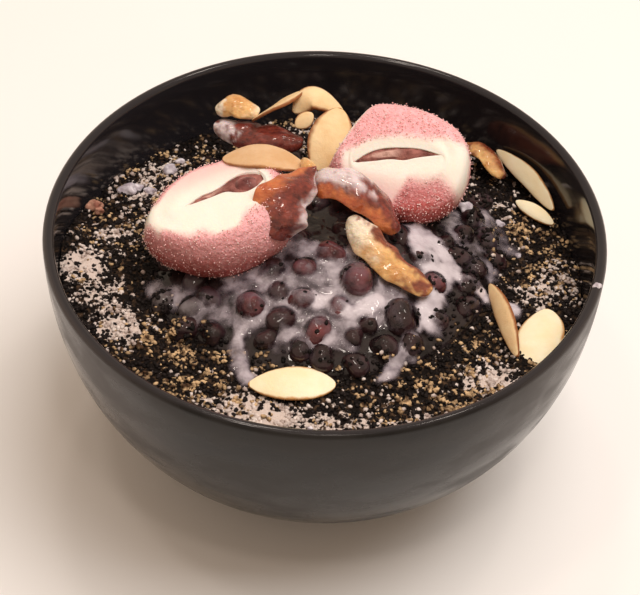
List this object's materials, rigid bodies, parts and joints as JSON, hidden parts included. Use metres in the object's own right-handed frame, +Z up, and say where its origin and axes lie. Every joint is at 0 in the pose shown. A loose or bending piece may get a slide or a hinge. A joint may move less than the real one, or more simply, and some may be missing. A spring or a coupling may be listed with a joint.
{
  "type": "shaved ice dessert in a bowl",
  "caption": "Bowl of milk shaved ice under ground black sesame, topped with sweet red beans, cut filled rice cake, date strips, sliced almond and condensed milk.",
  "frame": {"origin": "under the middle of the foot ring, on the surface that the bowl stands on", "axes": "+Z up along the bowl's axis; +Y away from the side shown nearest in the picture, so +X runs to its right"},
  "size_m": [0.16, 0.16, 0.1062],
  "materials": {
    "black_glaze": "glossy black glaze, dulled outside by mist from the cold",
    "sesame_ice": "white milk ice under ground black sesame",
    "red_beans": "dark red beans, wet with white condensed milk",
    "rice_cake": "pink sugared skin with a cream cut face",
    "bean_paste": "brown red bean paste",
    "date_skin": "maroon date skin with frosted sugar",
    "date_flesh": "amber to cream date flesh",
    "almond": "cream almond with tan rims"
  },
  "bodies": {
    "root": {"bowl": "black_glaze", "rice_cake_left": "rice_cake", "bean_filling_left": "bean_paste", "rice_cake_right": "rice_cake", "bean_filling_right": "bean_paste", "date_strip_arch": "date_skin", "date_strip_pale": "date_flesh", "date_strip_middle": "date_skin", "date_strip_back": "date_skin", "date_strip_curl": "date_flesh", "date_strip_behind": "date_skin", "date_strip_right": "date_flesh", "almond_slice_front": "almond", "almond_slice_right_flat": "almond", "almond_slice_right_leaning": "almond", "almond_slice_back_slender": "almond", "almond_slice_back_curly": "almond", "almond_slice_back_upright": "almond", "almond_slice_back_chip": "almond", "almond_slice_on_cake": "almond", "almond_slice_wall_long": "almond", "almond_slice_wall_short": "almond", "red_beans": "red_beans", "shaved_ice": "sesame_ice"}
  },
  "joints": []
}
